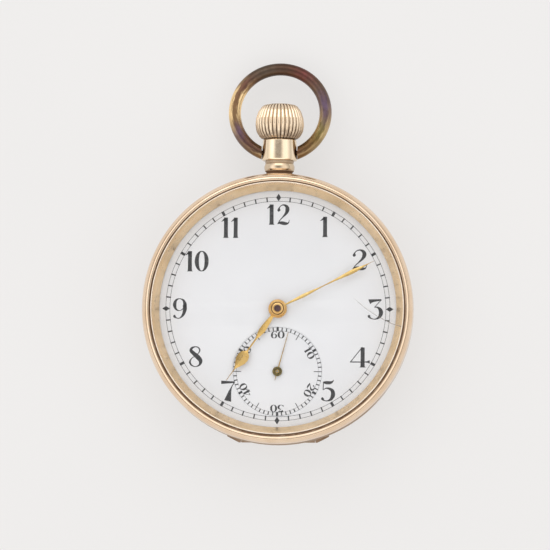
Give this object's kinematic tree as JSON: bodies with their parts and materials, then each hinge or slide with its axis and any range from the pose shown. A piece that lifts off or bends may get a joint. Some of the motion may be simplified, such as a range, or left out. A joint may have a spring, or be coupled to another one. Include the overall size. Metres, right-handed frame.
{
  "type": "open face pocket watch",
  "caption": "Open face pocket watch with a fluted onion crown, swinging bow, hinged back and dust cover, white dial with sunk seconds and a full winding and going train.",
  "frame": {"origin": "middle of the flat face of the back cover that the watch rests on", "axes": "+Z the way the dial faces, +Y from six o'clock to the pendant and bow, +X towards three o'clock"},
  "size_m": [0.05, 0.0711, 0.0126],
  "materials": {
    "gold_case": "polished and softly worn gold-coloured case metal",
    "crystal": "clear",
    "steel": "satin",
    "blued_steel": "polished, tempered blue",
    "gilt_brass": "fine grained gilt",
    "bow_bronze": "tarnished, polished on the wear points",
    "ruby": "polished synthetic ruby",
    "enamel": "glossy white enamel",
    "hand_gold": "bright gilt"
  },
  "bodies": {
    "case": {"case_band": "gold_case", "pendant": "gold_case", "bezel": "gold_case", "crystal": "crystal", "hinge_pin": "steel", "yoke": "steel", "mainplate": "gilt_brass", "barrel_bridge": "gilt_brass", "train_bridge": "gilt_brass", "pallet_cock": "gilt_brass", "balance_cock": "gilt_brass", "hairspring": "blued_steel", "hairspring_stud": "steel", "endstone": "ruby", "dial": "enamel", "jewels": "ruby", "bridge_screws": "blued_steel", "cock_screws": "blued_steel", "case_screws": "blued_steel", "click_screw": "blued_steel", "click_spring": "steel"},
    "cover": {"back_cover": "gold_case"},
    "dust_cover": {"cuvette": "gold_case"},
    "bow": {"bow": "bow_bronze"},
    "set_slide": {"setting_lever": "steel"},
    "crown": {"crown": "gold_case", "stem": "steel"},
    "keyless": {"winding_pinion": "steel", "clutch": "steel"},
    "crown_wheel": {"crown_wheel": "steel", "crown_wheel_screw": "blued_steel"},
    "ratchet": {"ratchet_wheel": "steel", "ratchet_screw": "blued_steel", "barrel_arbor": "steel"},
    "click": {"click": "steel"},
    "barrel": {"barrel": "gilt_brass", "barrel_cover": "gilt_brass", "mainspring": "blued_steel"},
    "centre": {"centre_arbor": "steel", "centre_wheel": "gilt_brass", "cannon_pinion": "steel", "minute_hand": "hand_gold"},
    "third": {"third_pinion": "steel", "third_wheel": "gilt_brass"},
    "fourth": {"fourth_pinion": "steel", "fourth_wheel": "gilt_brass", "seconds_hand": "hand_gold"},
    "escape": {"escape_pinion": "steel", "escape_wheel": "steel"},
    "lever": {"pallet_fork": "steel", "pallet_stones": "ruby"},
    "balance": {"balance_staff": "steel", "balance_wheel": "gilt_brass", "balance_screws": "gilt_brass", "impulse_jewel": "ruby"},
    "regulator": {"regulator": "steel"},
    "minute_wheel": {"minute_wheel": "gilt_brass"},
    "hour": {"hour_wheel": "gilt_brass", "hour_hand": "hand_gold"}
  },
  "joints": [
    {"name": "minute_turn", "type": "hinge", "parent": "case", "child": "centre", "pos_m": [0, 0, 0.008], "axis": [0, 0, -1], "continuous": true},
    {"name": "hour_turn", "type": "hinge", "parent": "case", "child": "hour", "pos_m": [0, 0, 0.0085], "axis": [0, 0, -1], "continuous": true},
    {"name": "minute_wheel_turn", "type": "hinge", "parent": "case", "child": "minute_wheel", "pos_m": [-0.00295, -0.00206, 0.008], "axis": [0, 0, -1], "continuous": true},
    {"name": "third_turn", "type": "hinge", "parent": "case", "child": "third", "pos_m": [0.00414, -0.00643, 0.006], "axis": [0, 0, -1], "continuous": true},
    {"name": "seconds_turn", "type": "hinge", "parent": "case", "child": "fourth", "pos_m": [0, -0.01155, 0.006], "axis": [0, 0, -1], "continuous": true},
    {"name": "escape_turn", "type": "hinge", "parent": "case", "child": "escape", "pos_m": [-0.00551, -0.01, 0.0058], "axis": [0, 0, -1], "continuous": true},
    {"name": "barrel_turn", "type": "hinge", "parent": "case", "child": "barrel", "pos_m": [0.00787, 0.0055, 0.0055], "axis": [0, 0, -1], "continuous": true},
    {"name": "crown_pull", "type": "slide", "parent": "case", "child": "set_slide", "axis": [0, 1, 0], "range_m": [0, 0.0011]},
    {"name": "crown_wind", "type": "hinge", "parent": "set_slide", "child": "crown", "pos_m": [0, 0.034, 0.0062], "axis": [0, 1, 0], "continuous": true},
    {"name": "keyless_turn", "type": "hinge", "parent": "case", "child": "keyless", "pos_m": [0, 0.014, 0.0062], "axis": [0, 1, 0], "continuous": true},
    {"name": "crown_wheel_turn", "type": "hinge", "parent": "case", "child": "crown_wheel", "pos_m": [0, 0.0126, 0.0041], "axis": [0, 0, 1], "continuous": true},
    {"name": "ratchet_turn", "type": "hinge", "parent": "case", "child": "ratchet", "pos_m": [0.00787, 0.0055, 0.0041], "axis": [0, 0, 1], "continuous": true},
    {"name": "click_swing", "type": "hinge", "parent": "case", "child": "click", "pos_m": [0.01516, 0.00094, 0.0041], "axis": [0, 0, 1], "range_deg": [-9, 0], "stiffness_Nm_per_rad": 0.00002},
    {"name": "lever_swing", "type": "hinge", "parent": "case", "child": "lever", "pos_m": [-0.00801, -0.00701, 0.0058], "axis": [0, 0, 1], "range_deg": [-5, 5]},
    {"name": "balance_swing", "type": "hinge", "parent": "case", "child": "balance", "pos_m": [-0.01103, -0.00341, 0.0046], "axis": [0, 0, 1], "range_deg": [-270, 270], "stiffness_Nm_per_rad": 0.0000009, "deforming": ["hairspring"]},
    {"name": "regulator_swing", "type": "hinge", "parent": "case", "child": "regulator", "pos_m": [-0.01103, -0.00341, 0.003], "axis": [0, 0, 1], "range_deg": [-20, 20]},
    {"name": "cover_open", "type": "hinge", "parent": "case", "child": "cover", "pos_m": [0, -0.02365, 0.0035], "axis": [-1, 0, 0], "range_deg": [0, 95]},
    {"name": "dust_cover_open", "type": "hinge", "parent": "case", "child": "dust_cover", "pos_m": [0, -0.02365, 0.0035], "axis": [-1, 0, 0], "range_deg": [0, 83]},
    {"name": "bow_swing", "type": "hinge", "parent": "case", "child": "bow", "pos_m": [0, 0.0291, 0.0062], "axis": [1, 0, 0], "range_deg": [-111.5, 130.5]}
  ],
  "couplings": [
    {"joint": "hour_turn", "follows": "minute_turn", "ratio": 0.083333},
    {"joint": "minute_wheel_turn", "follows": "minute_turn", "ratio": -0.33333},
    {"joint": "third_turn", "follows": "minute_turn", "ratio": -8},
    {"joint": "seconds_turn", "follows": "minute_turn", "ratio": 60},
    {"joint": "escape_turn", "follows": "minute_turn", "ratio": -600},
    {"joint": "barrel_turn", "follows": "minute_turn", "ratio": -0.14286},
    {"joint": "keyless_turn", "follows": "crown_wind", "ratio": 1},
    {"joint": "crown_wheel_turn", "follows": "crown_wind", "ratio": 0.45},
    {"joint": "ratchet_turn", "follows": "crown_wind", "ratio": -0.27273},
    {"joint": "dust_cover_open", "follows": "cover_open", "ratio": 0.87}
  ]
}
